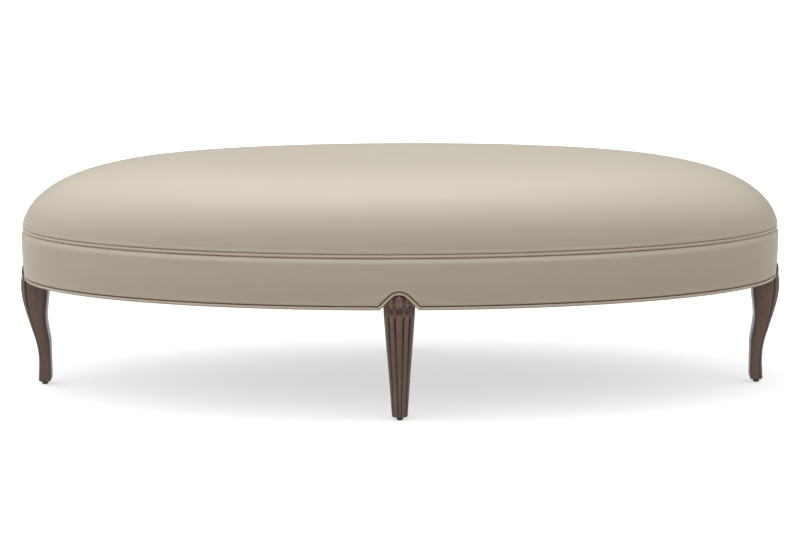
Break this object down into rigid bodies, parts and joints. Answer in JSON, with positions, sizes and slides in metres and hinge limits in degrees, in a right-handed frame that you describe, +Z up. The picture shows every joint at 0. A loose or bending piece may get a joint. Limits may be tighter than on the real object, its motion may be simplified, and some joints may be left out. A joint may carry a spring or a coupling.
{
  "type": "oval bed bench",
  "caption": "Long oval upholstered bench with a crowned seat, a welted fabric side band and reeded, carved cabriole legs, for the foot of a bed.",
  "frame": {"origin": "on the floor under the middle of the seat", "axes": "+X along the bench's length, +Y towards its back (the side away from the picture's camera), +Z up; the front and back are alike"},
  "size_m": [1.5374, 0.6734, 0.4723],
  "materials": {
    "cover_fabric": "satin-faced woven upholstery fabric, champagne",
    "polyester_fibre": "matte polyester fibre wadding",
    "foam": "matte open-cell polyurethane foam",
    "deck_cloth": "plain hessian",
    "webbing": "woven jute webbing",
    "card": "stiff fibre card",
    "plywood": "bare plywood",
    "frame_hardwood": "bare sawn hardwood",
    "leg_wood": "walnut-stained carved hardwood, satin lacquer",
    "glide": "dark moulded nylon",
    "zinc_steel": "zinc-plated steel",
    "dust_cloth": "black non-woven cloth"
  },
  "bodies": {
    "root": {"top_cover": "cover_fabric", "cover_skirt": "cover_fabric", "boxing": "cover_fabric", "top_welt": "cover_fabric", "bottom_welt": "cover_fabric", "fibre_wrap": "polyester_fibre", "band_padding_back_right": "polyester_fibre", "band_padding_back_left": "polyester_fibre", "band_padding_front_left": "polyester_fibre", "band_padding_front_right": "polyester_fibre", "foam_crown": "foam", "foam_base": "foam", "deck_cloth": "deck_cloth", "long_webbing": "webbing", "cross_webbing": "webbing", "tack_strip": "card", "rail_facing": "plywood", "top_plate_front": "plywood", "top_plate_right": "plywood", "top_plate_back": "plywood", "top_plate_left": "plywood", "bottom_plate_front": "plywood", "bottom_plate_right": "plywood", "bottom_plate_back": "plywood", "bottom_plate_left": "plywood", "spacer_block_1": "frame_hardwood", "spacer_block_2": "frame_hardwood", "spacer_block_3": "frame_hardwood", "spacer_block_4": "frame_hardwood", "spacer_block_5": "frame_hardwood", "spacer_block_6": "frame_hardwood", "spacer_block_7": "frame_hardwood", "spacer_block_8": "frame_hardwood", "cross_rail_left": "frame_hardwood", "cross_rail_right": "frame_hardwood", "leg_block_front": "frame_hardwood", "leg_block_right": "frame_hardwood", "leg_block_back": "frame_hardwood", "leg_block_left": "frame_hardwood", "leg_front": "leg_wood", "leg_right": "leg_wood", "leg_back": "leg_wood", "leg_left": "leg_wood", "glide_front": "glide", "glide_right": "glide", "glide_back": "glide", "glide_left": "glide", "leg_bolts": "zinc_steel", "bolt_washers": "zinc_steel", "bolt_nuts": "zinc_steel", "top_plate_screws": "zinc_steel", "bottom_plate_screws": "zinc_steel", "dust_cover": "dust_cloth"}
  },
  "joints": []
}
